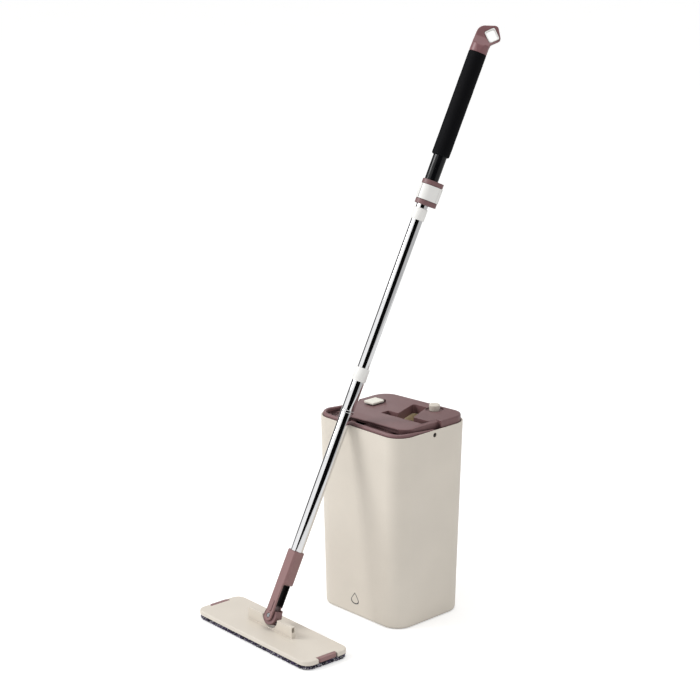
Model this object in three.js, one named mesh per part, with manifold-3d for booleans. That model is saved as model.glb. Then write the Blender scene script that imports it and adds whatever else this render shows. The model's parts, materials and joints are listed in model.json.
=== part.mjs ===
// Flat squeeze mop standing beside its two-slot bucket.
// Millimetres, +Z up. The origin is the centre of the bucket's flat underside. The bucket's
// broad front faces -Y, its narrow side +X, and the mop stands in front of it and leans back
// over the rim.
import * as THREE from 'three';
import { mergeVertices } from 'three/addons/utils/BufferGeometryUtils.js';
import Module from 'manifold-3d';

const wasm = await Module();
wasm.setup();

// ---------------------------------------------------------------- driving dimensions
const GAP = 0.3; // between pieces that touch
const ARC_STEPS = 9; // steps in a quarter of a large corner
const ROUND_SIDES = 32; // sides of a tube

const bucket = { height: 380, width: 230, depth: 191, corner: 36.5, taper: 6.9, wall: 3, floor: 4 };
const deck = {
  top: 389, slope: 0.038, slab: 5, skirtFoot: 352, wall: 1.8, rearStart: 20, frontEdge: -65,
  edgeRadius: 3, apron: 22, apronDrop: 2.5, recess: 5, collarFoot: 371,
};
const band = {
  outer: 4.1, thickness: 6.5, top: 386, height: 10.5, pivotZ: 371, lug: 9.5, pinRadius: 2.5, holeRadius: 4.4,
};
const channel = band.outer + band.thickness + 1.2; // how far the deck's front stands in from the outside
const slot = { left: -12, right: 95, front: -16, rear: 3 };
const notch = { frontLeft: 15, frontRight: 55, rearLeft: -6, rearRight: 27, rear: 66 };
const flap = { left: -78.5, right: -54.5, front: 3, hingeY: 36.2, hingeZ: 393, thickness: 3.2, rise: 1.5 };
const knob = { x: 47, y: 67, radius: 11, height: 12, dishRadius: 17, dishDepth: 2.8 };
const chute = { foot: 200, wall: 2, lip: 1 };
const divider = { y: -56, thickness: 2.5, top: 350 };

const head = { x: -41, y: -270, yaw: -2.55, length: 328, width: 104.5, corner: 19 };
const plate = { bottom: 9, top: 17.5, bevel: 2.5, roof: 3 };
const pad = { top: 8.6, length: 326, width: 102.5 };
const ridge = { half: 65, thickness: 8, top: 40, openingRadius: 21.5 };
const tab = { inner: 155, outer: 163.6, half: 22 };
const pitchAxisZ = 32; // height of the hinge that lets the pole lean
const forkPinUp = 9; // the fork's pin above that hinge, along the pole
const lean = 24.2; // degrees that the pole leans towards the bucket
const sideLean = 2.75; // degrees that it leans along the plate
const handleTwist = 45; // the clamp and the hook are turned about the pole

// stations along the pole, measured from the fork's pin
const pole = {
  housingTop: 129, spigotTop: 158, channelTop: 63, ring: 403, ringLength: 5, middleTop: 478,
  collarFoot: 465, collarTop: 491, upperStart: 420, upperTop: 1047,
  stopFoot: 782, stopTop: 805, clampFoot: 812, clampTop: 859, handleStart: 842.5,
  gripFoot: 907, gripTop: 1108,
};
const lowerTubeRadius = 12;
const upperTubeRadius = 11;
const handleTubeRadius = 13;
const gripRadius = 17;
const housing = {
  halfX: 12.8, halfY: 12.6, chamfer: 3.6, channelHalf: 8.6, backWall: -2.5, cutBack: 8.5, rearCut: 2.5,
  endRadius: 10, pinRecess: 1.4, pinHead: 3.8,
};

const colours = {
  cream: { color: 0xe6dfd2, roughness: 0.45, metalness: 0 },
  brown: { color: 0x7c6064, roughness: 0.5, metalness: 0 },
  chrome: { color: 0xd8d9dc, roughness: 0.12, metalness: 1 },
  black: { color: 0x17181b, roughness: 0.35, metalness: 0 },
  foam: { color: 0x1d1d20, roughness: 0.95, metalness: 0 },
  rubber: { color: 0x2c2b2b, roughness: 0.8, metalness: 0 },
  fabric: { color: 0x55525c, roughness: 1, metalness: 0 },
};

// ---------------------------------------------------------------- solids
const radians = THREE.MathUtils.degToRad;

function signedVolume(position, triangles) {
  const a = new THREE.Vector3();
  const b = new THREE.Vector3();
  const c = new THREE.Vector3();
  let sum = 0;
  for (let i = 0; i < triangles.length; i += 3) {
    a.fromArray(position, triangles[i] * 3);
    b.fromArray(position, triangles[i + 1] * 3);
    c.fromArray(position, triangles[i + 2] * 3);
    sum += a.dot(b.cross(c));
  }
  return sum;
}

// A closed three.js geometry as a manifold solid, with its faces turned outwards.
function solid(geometry) {
  const bare = geometry.clone();
  bare.deleteAttribute('normal');
  bare.deleteAttribute('uv');
  const merged = mergeVertices(bare, 1e-4);
  const index = merged.index.array;
  let triangles = [];
  for (let i = 0; i < index.length; i += 3) {
    const [a, b, c] = [index[i], index[i + 1], index[i + 2]];
    if (a !== b && b !== c && c !== a) triangles.push(a, b, c);
  }
  const position = new Float32Array(merged.attributes.position.array);
  if (signedVolume(position, triangles) < 0) triangles = triangles.reverse();
  const mesh = new wasm.Mesh({ numProp: 3, vertProperties: position, triVerts: new Uint32Array(triangles) });
  return new wasm.Manifold(mesh);
}

function join(first, ...others) {
  return others.reduce((sum, other) => sum.add(other), first);
}

function cut(first, ...others) {
  return others.reduce((rest, other) => rest.subtract(other), first);
}

function box(x0, x1, y0, y1, z0, z1) {
  const geometry = new THREE.BoxGeometry(x1 - x0, y1 - y0, z1 - z0);
  geometry.translate((x0 + x1) / 2, (y0 + y1) / 2, (z0 + z1) / 2);
  return solid(geometry);
}

function points(...pairs) {
  return pairs.map(([x, y]) => new THREE.Vector2(x, y));
}

function arc(x, y, radius, from, to, steps = ARC_STEPS) {
  const list = [];
  for (let i = 0; i <= steps; i += 1) {
    const angle = radians(from + ((to - from) * i) / steps);
    list.push(new THREE.Vector2(x + radius * Math.cos(angle), y + radius * Math.sin(angle)));
  }
  return list;
}

function roundedRect(width, depth, radius, steps = ARC_STEPS) {
  const x = width / 2 - radius;
  const y = depth / 2 - radius;
  return [
    ...arc(x, -y, radius, -90, 0, steps), ...arc(x, y, radius, 0, 90, steps),
    ...arc(-x, y, radius, 90, 180, steps), ...arc(-x, -y, radius, 180, 270, steps),
  ];
}

// Two round ends of different radius joined by their outer tangents, along X.
function eggOutline(bigRadius, smallX, smallRadius) {
  const tangent = THREE.MathUtils.radToDeg(Math.acos((bigRadius - smallRadius) / smallX));
  return [
    ...arc(0, 0, bigRadius, tangent, 360 - tangent, 20),
    ...arc(smallX, 0, smallRadius, -tangent, tangent, 12),
  ];
}

// The outline moved outwards by a distance, with mitred corners.
function offset(outline, distance) {
  const count = outline.length;
  return outline.map((point, i) => {
    const before = point.clone().sub(outline[(i + count - 1) % count]).normalize();
    const after = outline[(i + 1) % count].clone().sub(point).normalize();
    const bisector = new THREE.Vector2(before.y + after.y, -before.x - after.x).normalize();
    const scale = distance / Math.max(0.3, bisector.x * after.y - bisector.y * after.x);
    return point.clone().addScaledVector(bisector, scale);
  });
}

function extruded(outline, depth) {
  return new THREE.ExtrudeGeometry(new THREE.Shape(outline), { depth, bevelEnabled: false });
}

function prism(outline, z0, z1) {
  return solid(extruded(outline, z1 - z0).translate(0, 0, z0));
}

const unitX = new THREE.Vector3(1, 0, 0);
const unitY = new THREE.Vector3(0, 1, 0);
const unitZ = new THREE.Vector3(0, 0, 1);
const alongX = new THREE.Matrix4().makeBasis(unitY, unitZ, unitX);
const alongY = new THREE.Matrix4().makeBasis(unitX, unitZ, unitY.clone().negate());

// An outline given in Y and Z, run along X.
function prismX(outline, x0, x1) {
  return solid(extruded(outline, x1 - x0).applyMatrix4(alongX).translate(x0, 0, 0));
}

// An outline given in X and Z, run along Y.
function prismY(outline, y0, y1) {
  return solid(extruded(outline, y1 - y0).applyMatrix4(alongY).translate(0, y1, 0));
}

// Sections of equal point count stacked along Z, with flat ends.
function loft(sections) {
  const count = sections[0].outline.length;
  const vertices = [];
  for (const section of sections) {
    for (const point of section.outline) vertices.push(point.x, point.y, section.z);
  }
  const triangles = [];
  for (let level = 0; level + 1 < sections.length; level += 1) {
    for (let i = 0; i < count; i += 1) {
      const a = level * count + i;
      const b = level * count + ((i + 1) % count);
      triangles.push(a, b, b + count, a, b + count, a + count);
    }
  }
  const top = (sections.length - 1) * count;
  for (let i = 1; i + 1 < count; i += 1) {
    triangles.push(0, i + 1, i, top, top + i, top + i + 1);
  }
  const geometry = new THREE.BufferGeometry();
  geometry.setAttribute('position', new THREE.Float32BufferAttribute(vertices, 3));
  geometry.setIndex(triangles);
  return solid(geometry);
}

// A turned piece about Z, from (radius, z) pairs that begin and end on the axis or close.
function turned(pairs, sides = ROUND_SIDES) {
  return solid(new THREE.LatheGeometry(points(...pairs), sides).rotateX(Math.PI / 2));
}

function rod(radius, z0, z1, sides = ROUND_SIDES) {
  return turned([[0, z0], [radius, z0], [radius, z1], [0, z1]], sides);
}

function sleeve(outer, inner, z0, z1, sides = ROUND_SIDES) {
  return turned([[inner, z0], [outer, z0], [outer, z1], [inner, z1], [inner, z0]], sides);
}

function rodX(radius, x0, x1, y, z, sides = 20) {
  return rod(radius, x0, x1, sides).rotate([0, 90, 0]).translate([0, y, z]);
}

function rodY(radius, y0, y1, x, z, sides = 20) {
  return rod(radius, y0, y1, sides).rotate([-90, 0, 0]).translate([x, 0, z]);
}

function part(name, body, colour) {
  const mesh = body.getMesh();
  const geometry = new THREE.BufferGeometry();
  geometry.setAttribute('position', new THREE.BufferAttribute(new Float32Array(mesh.vertProperties), 3));
  geometry.setIndex(new THREE.BufferAttribute(new Uint32Array(mesh.triVerts), 1));
  const object = new THREE.Mesh(geometry, new THREE.MeshStandardMaterial(colours[colour]));
  object.name = name;
  return object;
}

// ---------------------------------------------------------------- bucket
// The bucket's outline at a height, moved in by an inset. The walls draw in towards the floor.
function bucketOutline(z, inset = 0) {
  const draw = 2 * (bucket.taper * (1 - z / bucket.height) + inset);
  return roundedRect(bucket.width - draw, bucket.depth - draw, Math.max(3, bucket.corner - inset));
}

function bucketLevel(z, inset) {
  return { z, outline: bucketOutline(z, inset) };
}

// Brackets inside the walls, which carry the deck's skirt.
function deckBracket(x, wallY) {
  const reach = 14 * Math.sign(wallY);
  const top = deck.skirtFoot - GAP;
  const profile = points([wallY, top - 34], [wallY, top], [wallY - reach, top], [wallY - reach, top - 6]);
  return prismX(wallY < 0 ? profile.reverse() : profile, x - 4, x + 4);
}

function bucketShell() {
  const outside = loft([bucketLevel(0, 3.5), bucketLevel(1.6, 1), bucketLevel(5, 0), bucketLevel(bucket.height, 0)]);
  const inside = loft([bucketLevel(bucket.floor, bucket.wall + 2), bucketLevel(bucket.floor + 3, bucket.wall),
    bucketLevel(bucket.height + 1, bucket.wall)]);
  const wallY = bucket.depth / 2 - bucket.wall / 2 - 0.6;
  const brackets = [-60, 60].flatMap((x) => [deckBracket(x, wallY), deckBracket(x, -wallY)]);
  const holes = rodX(band.holeRadius, -bucket.width, bucket.width, 0, band.pivotZ);
  const drain = rod(10, -1, bucket.floor + 1).translate([knob.x, knob.y, 0]);
  return join(cut(outside, inside), ...brackets).subtract(holes).subtract(drain);
}

// ---------------------------------------------------------------- deck with its two slots
function slotOutline() {
  const rearLeft = arc(notch.rearLeft + 6, notch.rear - 6, 6, 90, 170, 4);
  return [
    ...points([slot.left, slot.front], [slot.right, slot.front], [slot.right, slot.rear]),
    ...points([notch.frontRight, slot.rear], [notch.rearRight, notch.rear]),
    ...rearLeft,
    ...points([notch.frontLeft, slot.rear], [slot.left, slot.rear]),
  ];
}

const deckHalfX = bucket.width / 2 - channel;
const wellCorner = { x: -62, y: -5 };

// The front half of the deck in plan, with its front and right edges moved in.
function platformOutline(frontInset = 0, sideInset = 0) {
  const corner = 24 - sideInset;
  const [front, right] = [deck.frontEdge + frontInset, deckHalfX - sideInset];
  const rear = deck.rearStart + 12;
  return [
    ...points([wellCorner.x + sideInset / 2, front]),
    ...arc(right - corner, front + corner, corner, -90, 0),
    ...points([right, rear], [-deckHalfX, rear], [-deckHalfX + sideInset / 4, wellCorner.y + sideInset / 2]),
  ];
}

// The deck rises gently towards +X: everything from its slab upwards follows the slope.
function onSlope(body) {
  const foot = deck.top - deck.slab - 1;
  return body.warp((point) => {
    if (point[2] > foot) point[2] += deck.slope * point[0];
  });
}

function platformSlab() {
  const edge = deck.top - deck.apronDrop;
  return loft([
    { z: deck.top - deck.slab, outline: platformOutline() },
    { z: edge - 0.8, outline: platformOutline() },
    { z: edge, outline: platformOutline(0.8, 0.8) },
    { z: deck.top, outline: platformOutline(deck.apron, 8) },
  ]);
}

// The rear half of the deck is rounded along its outer edge.
function rearSlab() {
  const inset = 4;
  const levels = [0, 30, 60, 90].map((angle) => {
    const turn = radians(angle);
    const drop = deck.edgeRadius * (1 - Math.sin(turn));
    const outline = bucketOutline(bucket.height, inset + deck.edgeRadius * (1 - Math.cos(turn)));
    return { z: deck.top - drop, outline };
  });
  const foot = { z: deck.top - deck.slab, outline: bucketOutline(bucket.height, inset) };
  return loft([foot, ...levels]).intersect(box(-200, 200, deck.rearStart, 200, 0, 500));
}

function outlineWall(outline, z0, z1) {
  return cut(prism(outline, z0, z1), prism(offset(outline, -deck.wall), z0 - 1, z1 + 1));
}

function flapKnuckle(x0, x1) {
  const profile = [...arc(flap.hingeY, flap.hingeZ, 2, 0, 180, 6),
    ...points([flap.hingeY - 2, deck.top - 1], [flap.hingeY + 2, deck.top - 1])];
  return prismX(profile, x0, x1);
}

function deckBody() {
  const under = deck.top - deck.slab;
  const full = bucketOutline(bucket.height, 4);
  const inset = bucketOutline(bucket.height, channel);
  const rearHalf = box(-200, 200, deck.rearStart, 200, 0, 500);
  const frontHalf = box(-200, 200, -200, deck.rearStart + 1, 0, 500);
  const rearSkirt = outlineWall(full, deck.skirtFoot, under + 1).intersect(rearHalf);
  const frontSkirt = outlineWall(inset, deck.skirtFoot, bucket.height - 2).intersect(frontHalf);
  const closers = [-1, 1].map((side) => {
    const [a, b] = [side * (deckHalfX - deck.wall), side * (bucket.width / 2 - 4.6)];
    const rear = deck.rearStart + deck.wall;
    return box(Math.min(a, b), Math.max(a, b), deck.rearStart, rear, deck.skirtFoot, under + 1);
  });
  const wellOutline = offset(platformOutline(), -deck.recess);
  const wellWall = outlineWall(wellOutline, deck.skirtFoot, under + 1)
    .intersect(box(-200, 84, -200, wellCorner.y + 3, 0, 500));
  const sideWall = outlineWall(platformOutline(), deck.skirtFoot, under + 1)
    .intersect(box(84, 200, -200, deck.rearStart + 1, 0, 500));
  const collarOutline = slotOutline();
  const collar = prism(offset(collarOutline, chute.wall), deck.collarFoot, under + 1);
  const knuckles = [flapKnuckle(flap.left, flap.left + 3.6), flapKnuckle(flap.right - 3.6, flap.right)];
  const slabs = join(rearSlab(), platformSlab());
  const whole = join(slabs, rearSkirt, frontSkirt, ...closers, wellWall, sideWall, collar, ...knuckles);
  return onSlope(cut(
    whole,
    prism(collarOutline, 360, 400),
    box(flap.left + 4, flap.right - 4, flap.front + 5, 30, under - 1, deck.top + 1),
    rodX(1.3, flap.left - 1, flap.right + 1, flap.hingeY, flap.hingeZ, 12),
    rod(knob.dishRadius, deck.top - knob.dishDepth, deck.top + 1).translate([knob.x, knob.y, 0]),
    rod(3.6, under - 2, deck.top).translate([knob.x, knob.y, 0]),
  ));
}

// ---------------------------------------------------------------- what the bucket holds
function chuteBody() {
  const outline = slotOutline();
  const top = deck.collarFoot - GAP;
  const flange = prism(offset(outline, chute.wall + 1.2), top - 3, top);
  const walls = prism(offset(outline, chute.wall - chute.lip), chute.foot, top);
  return cut(join(walls, flange), prism(offset(outline, -chute.lip), chute.foot - 1, top + 1));
}

// A wiper strip inside the scraping slot, against its front wall.
function scraperBody() {
  const y = slot.front + chute.lip + GAP;
  const profile = points([y, 352], [y + 2, 352], [y + 4, 361], [y + 2, 367], [y, 367]);
  return prismX(profile, slot.left + chute.lip + 1, slot.right - chute.lip - 1);
}

function dividerBody() {
  const low = bucket.floor + 4;
  const half = (z) => bucket.width / 2 - bucket.wall - bucket.taper * (1 - z / bucket.height) - 1.2;
  const sheet = points([-half(low), low], [half(low), low], [half(divider.top), divider.top],
    [-half(divider.top), divider.top]);
  const y0 = divider.y - divider.thickness / 2;
  const rail = half(divider.top - 6);
  return join(prismY(sheet, y0, y0 + divider.thickness),
    box(-rail, rail, y0 - 1.5, y0 + divider.thickness + 1.5, divider.top - 6, divider.top));
}

// A ribbed scrubbing board on the washing side of the divider.
function combBody() {
  const rear = divider.y - divider.thickness / 2 - 1.5 - GAP;
  const board = box(-58, 58, rear - 1.8, rear, 150, 290);
  const ribs = [];
  for (let z = 158; z < 290; z += 14) ribs.push(box(-55, 55, rear - 4.4, rear - 1, z, z + 3));
  return join(board, ...ribs);
}

// The flap's lid is a wedge: its outer side stands higher, for a finger to lift.
function flapBody() {
  const bottom = flap.hingeZ - flap.thickness / 2;
  const top = bottom + flap.thickness;
  const side = points([flap.left, bottom], [flap.right, bottom], [flap.right, top], [flap.left, top + flap.rise]);
  const lid = prismY(side, flap.front, 33.4);
  const plug = box(flap.left + 5.5, flap.right - 5.5, flap.front + 6.5, 27, bottom - 4.5, bottom + 1);
  const web = box(flap.left + 4.2, flap.right - 4.2, 33, flap.hingeY, bottom + 0.2, bottom + flap.thickness - 0.2);
  const barrel = rodX(flap.thickness / 2 - 0.1, flap.left + 4.2, flap.right - 4.2, flap.hingeY, flap.hingeZ, 16);
  return onSlope(cut(join(lid, plug, web, barrel), rodX(1.3, flap.left, flap.right, flap.hingeY, flap.hingeZ, 12)));
}

function drainParts() {
  const dish = deck.top - knob.dishDepth + deck.slope * (knob.x + knob.radius); // its higher side
  const group = new THREE.Group();
  group.position.set(knob.x, knob.y, 0);
  const r = knob.radius;
  const top = dish + GAP + knob.height;
  group.add(part('drain_knob', turned([[0, dish + GAP], [r - 1, dish + GAP], [r - 0.5, top - 1.5],
    [r - 1.6, top - 0.3], [r - 3, top], [0, top - 0.5]]), 'cream'));
  group.add(part('drain_rod', rod(3, 13.3, dish, 16), 'black'));
  group.add(part('drain_plug', turned([[0, 1], [8, 1], [8.6, 7.1], [15, 7.1], [15, 10], [6, 13], [0, 13]]), 'brown'));
  group.add(part('drain_seal', sleeve(15, 9.2, bucket.floor + GAP, 6.8), 'rubber'));
  return group;
}

// The carrying handle: a band round the front half, its arms sloping down to the pivots.
function handleBody() {
  const ring = cut(prism(bucketOutline(bucket.height, band.outer), 350, 390),
    prism(bucketOutline(bucket.height, band.outer + band.thickness), 340, 400));
  const low = band.top - band.height;
  const side = [
    ...arc(0, band.pivotZ, band.lug, -90, 90, 10),
    ...points([-62, band.top], [-120, band.top], [-120, low], [-62, low]),
  ];
  const bore = rodX(band.pinRadius + GAP, -bucket.width, bucket.width, 0, band.pivotZ);
  return cut(ring.intersect(prismX(side, -200, 200)), bore);
}

function handlePin(side) {
  const inner = bucket.width / 2 - band.outer - band.thickness + 1;
  const outer = bucket.width / 2 - 2.2;
  return rodX(band.pinRadius, side < 0 ? -outer : inner, side < 0 ? -inner : outer, 0, band.pivotZ);
}

function bucketParts() {
  const group = new THREE.Group();
  group.add(part('bucket_shell', bucketShell(), 'cream'));
  group.add(part('deck', deckBody(), 'brown'));
  group.add(part('wringer_chute', chuteBody(), 'cream'));
  group.add(part('scraper_blade', scraperBody(), 'rubber'));
  group.add(part('divider_wall', dividerBody(), 'cream'));
  group.add(part('wash_comb', combBody(), 'cream'));
  group.add(part('carry_handle', handleBody(), 'brown'));
  group.add(part('handle_pin_left', handlePin(-1), 'brown'));
  group.add(part('handle_pin_right', handlePin(1), 'brown'));
  group.add(part('filler_flap', flapBody(), 'cream'));
  const flapPin = rodX(0.9, flap.left + 0.3, flap.right - 0.3, flap.hingeY, flap.hingeZ, 12);
  group.add(part('flap_pin', onSlope(flapPin), 'chrome'));
  group.add(drainParts());
  return group;
}

// ---------------------------------------------------------------- mop head
function headPlate() {
  const outline = (inset) => roundedRect(head.length - 2 * inset, head.width - 2 * inset, head.corner - inset);
  const slabBody = loft([
    { z: plate.bottom, outline: outline(0) }, { z: plate.top - 1.8, outline: outline(0) },
    { z: plate.top - 0.5, outline: outline(0.9) }, { z: plate.top, outline: outline(plate.bevel) },
  ]);
  const pocket = prism(outline(6), plate.bottom - 1, plate.top - plate.roof);
  const tabBays = [-1, 1].map((side) => {
    const [a, b] = [side * (tab.inner - 0.4), side * (head.length / 2 + 2)];
    return box(Math.min(a, b), Math.max(a, b), -tab.half - 0.4, tab.half + 0.4, plate.bottom - 1, plate.top + 1);
  });
  const half = ridge.thickness / 2;
  const profile = points([-ridge.half, plate.top - 1], [ridge.half, plate.top - 1], [ridge.half - 1, ridge.top],
    [1 - ridge.half, ridge.top]);
  const opening = rodY(ridge.openingRadius, -half - 1, half + 1, 0, ridge.top + 0.5, 48);
  const endWindows = [-1, 1].map((side) => box(side * ridge.half - 6, side * ridge.half + 6,
    -half + 1.6, half - 1.6, ridge.top - 11, ridge.top - 2));
  const bores = rodX(2.3, -31.5, 31.5, 0, pitchAxisZ, 16);
  return cut(join(cut(slabBody, pocket, ...tabBays), prismY(profile, -half, half)), opening, ...endWindows, bores);
}

function endTab(side) {
  const top = box(tab.inner, tab.outer, -tab.half, tab.half, 13, plate.top - 0.2);
  const lip = box(tab.outer - 4, tab.outer, -tab.half, tab.half, plate.bottom + 0.3, 14);
  const rounding = prism(roundedRect(2 * tab.outer, 2 * tab.half, 6, 4), 0, 30);
  return join(top, lip).intersect(rounding).rotate([0, 0, side < 0 ? 180 : 0]);
}

function headParts() {
  const group = new THREE.Group();
  const inner = roundedRect(head.length - 12.8, head.width - 12.8, head.corner - 6.4);
  group.add(part('mop_pad', loft([
    { z: 0, outline: roundedRect(pad.length - 6, pad.width - 6, head.corner - 4) },
    { z: 2.5, outline: roundedRect(pad.length, pad.width, head.corner - 1) },
    { z: pad.top, outline: roundedRect(pad.length, pad.width, head.corner - 1) },
  ]), 'fabric'));
  group.add(part('head_plate', headPlate(), 'cream'));
  group.add(part('head_base', prism(inner, 10.2, 12.2), 'cream'));
  for (const [name, y] of [['hook_strip_front', -24], ['hook_strip_rear', 24]]) {
    group.add(part(name, box(-148, 148, y - 11, y + 11, pad.top + GAP, 9.9), 'black'));
  }
  group.add(part('end_tab_left', endTab(-1), 'brown'));
  group.add(part('end_tab_right', endTab(1), 'brown'));
  return group;
}

// ---------------------------------------------------------------- universal joint and housing
// In this group the hinge for leaning lies on X through the origin.
function swivelParts() {
  const group = new THREE.Group();
  const disc = rodY(17, -8, 8, 0, forkPinUp, 40);
  const flatTop = box(-30, 30, -30, 30, forkPinUp + 11, 60);
  const pinBore = rodY(2.8, -20, 20, 0, forkPinUp);
  const shaftBores = [rodX(2.3, -20, -7.5, 0, 0, 16), rodX(2.3, 7.5, 20, 0, 0, 16)];
  group.add(part('swivel_block', cut(disc, flatTop, pinBore, ...shaftBores), 'brown'));
  group.add(part('trunnion_pin_left', rodX(2, -31, -8, 0, 0, 16), 'chrome'));
  group.add(part('trunnion_pin_right', rodX(2, 8, 31, 0, 0, 16), 'chrome'));
  return group;
}

// A shallow J on the front cheek, above the pin.
function cheekGroove() {
  const width = 0.7;
  const outline = [...points([3 - width, 30], [3 - width, 12]), ...arc(-1, 12, 4 - width, 0, -80, 4),
    ...arc(-1, 12, 4 + width, -80, 0, 4), ...points([3 + width, 30])];
  return prismY(outline, -housing.halfY - 1, -housing.halfY + 1.1);
}

function housingBody() {
  const { halfX, halfY, chamfer, channelHalf, backWall, cutBack } = housing;
  const side = [
    ...points([-halfX, pole.housingTop], [-halfX, 24]), ...arc(0, 0, housing.endRadius, 200, 340, 10),
    ...points([cutBack + 1, 10], [cutBack, 16], [cutBack, pole.channelTop], [halfX, pole.channelTop + 5],
      [halfX, pole.housingTop]),
  ];
  const section = points([-halfX, -halfY + chamfer], [-halfX + chamfer, -halfY], [halfX - chamfer, -halfY],
    [halfX, -halfY + chamfer], [halfX, halfY - chamfer], [halfX - chamfer, halfY], [-halfX + chamfer, halfY],
    [-halfX, halfY - chamfer]);
  const body = prismY(side, -halfY, halfY).intersect(prism(section, -20, 200));
  const channelCut = box(backWall, 40, -channelHalf, channelHalf, -30, pole.channelTop);
  const rearCheekCut = box(housing.rearCut, 40, 0, 40, 14, pole.channelTop);
  const discRoom = box(-40, 40, -channelHalf, channelHalf, -30, 19);
  const pinBore = rodY(2.8, -30, 30, 0, 0);
  const recesses = [-1, 1].map((end) => {
    const [a, b] = [end * (halfY - housing.pinRecess), end * (halfY + 2)];
    return rodY(housing.pinHead + 0.8, Math.min(a, b), Math.max(a, b), 0, 0);
  });
  const spigot = rod(upperTubeRadius, pole.housingTop - 1, pole.spigotTop);
  const shell = cut(body, channelCut, rearCheekCut, discRoom, pinBore, ...recesses, cheekGroove());
  return join(shell, spigot);
}

function channelLiner() {
  const outer = housing.channelHalf - GAP;
  const floorX = housing.backWall + GAP;
  const [low, high] = [19.6, pole.channelTop - GAP];
  return cut(box(floorX, housing.cutBack - 0.3, -outer, outer, low, high),
    box(floorX + 0.9, 40, -outer + 0.8, outer - 0.8, low - 1, high - 0.8));
}

// ---------------------------------------------------------------- pole, clamp and grip
function lowerPoleParts() {
  const group = new THREE.Group();
  const bore = upperTubeRadius + 0.4;
  const ringTop = pole.ring + pole.ringLength;
  group.add(part('lower_housing', housingBody(), 'brown'));
  group.add(part('channel_liner', channelLiner(), 'black'));
  const seat = housing.halfY - housing.pinRecess + GAP;
  group.add(part('fork_pin', join(rodY(2.5, -seat - 0.5, seat + 0.5, 0, 0),
    rodY(housing.pinHead, -seat - 0.9, -seat, 0, 0), rodY(housing.pinHead, seat, seat + 0.9, 0, 0)), 'chrome'));
  const tubeFoot = pole.housingTop + GAP;
  group.add(part('lower_tube', sleeve(lowerTubeRadius, bore, tubeFoot, pole.ring - GAP), 'chrome'));
  group.add(part('joint_ring', sleeve(lowerTubeRadius + 0.6, bore, pole.ring, ringTop), 'chrome'));
  group.add(part('middle_tube', sleeve(lowerTubeRadius, bore, ringTop + GAP, pole.middleTop), 'chrome'));
  const collarRadius = 13.5;
  group.add(part('lower_collar', turned([
    [lowerTubeRadius + GAP, pole.collarFoot], [collarRadius - 0.5, pole.collarFoot],
    [collarRadius, pole.collarFoot + 1.5], [collarRadius, pole.collarTop - 2],
    [collarRadius - 1.2, pole.collarTop], [bore, pole.collarTop], [bore, pole.middleTop + GAP],
    [lowerTubeRadius + GAP, pole.middleTop + GAP], [lowerTubeRadius + GAP, pole.collarFoot],
  ]), 'cream'));
  return group;
}

function upperPoleParts() {
  const group = new THREE.Group();
  group.add(part('upper_tube', sleeve(upperTubeRadius, upperTubeRadius - 0.8, pole.upperStart, pole.upperTop), 'chrome'));
  const bore = upperTubeRadius + GAP;
  group.add(part('stop_collar', turned([[bore, pole.stopFoot], [12.4, pole.stopFoot], [13, pole.stopFoot + 1.5],
    [13, pole.stopTop - 1.5], [12.4, pole.stopTop], [bore, pole.stopTop], [bore, pole.stopFoot]]), 'cream'));
  return group;
}

const clamp = { core: 14.2, bandInner: 14.7, bandOuter: 17, smallX: 15, flange: 9, pinX: 21, pinY: -5 };

function clampBody() {
  const { clampFoot, clampTop } = pole;
  const flangeOutline = eggOutline(clamp.bandOuter - 1.2, clamp.smallX, 10);
  const lowFlange = prism(flangeOutline, clampFoot, clampFoot + clamp.flange);
  const highFlange = prism(flangeOutline, clampTop - clamp.flange, clampTop);
  const pinBore = rod(2, clampFoot + 2, clampTop - 2, 16).translate([clamp.pinX, clamp.pinY, 0]);
  return cut(join(rod(clamp.core, clampFoot, clampTop), lowFlange, highFlange), pinBore,
    rod(upperTubeRadius + GAP, clampFoot - 1, clampTop + 1),
    rod(handleTubeRadius + GAP, pole.handleStart - GAP, clampTop + 1));
}

// The cream band between the clamp's flanges, split into the fixed part and the lever.
function clampRing() {
  const [low, high] = [pole.clampFoot + clamp.flange + GAP, pole.clampTop - clamp.flange - GAP];
  return cut(prism(eggOutline(clamp.bandOuter, clamp.smallX, 11), low, high),
    prism(eggOutline(clamp.bandInner, clamp.smallX, 8.6), low - 1, high + 1));
}

function clampLever() {
  const [low, high] = [pole.clampFoot + clamp.flange + GAP, pole.clampTop - clamp.flange - GAP];
  const knuckle = rod(3.8, low, high, 20).translate([clamp.pinX, clamp.pinY, 0]);
  const arm = clampRing().intersect(box(-12.5, clamp.pinX, -30, -1, 0, 2000));
  return cut(join(arm, knuckle), rod(1.9, low - 1, high + 1, 16).translate([clamp.pinX, clamp.pinY, 0]));
}

function clampBand() {
  return cut(clampRing(), box(-13.1, 40, -30, -0.3, 0, 2000));
}

// The cap's outline in X and Z: straight sides, then a loop turned 45 degrees to the right.
const hook = { x: 14, z: 38, holeWidth: 24, holeHeight: 21, depth: 6.8 };

function capOutline() {
  return [
    ...points([-gripRadius, 0], [gripRadius, 0], [17.5, 21]),
    ...arc(25, 36, 6.2, -45, 30, 4), ...arc(15, 49.5, 8, 40, 120, 4), ...arc(1, 36, 16.5, 110, 180, 5),
  ];
}

function hookHole(shrink, depth) {
  const outline = roundedRect(hook.holeWidth - shrink, hook.holeHeight - shrink, 3, 3);
  return prismY(outline, -depth, depth).rotate([0, 45, 0]).translate([hook.x, 0, hook.z]);
}

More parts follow.
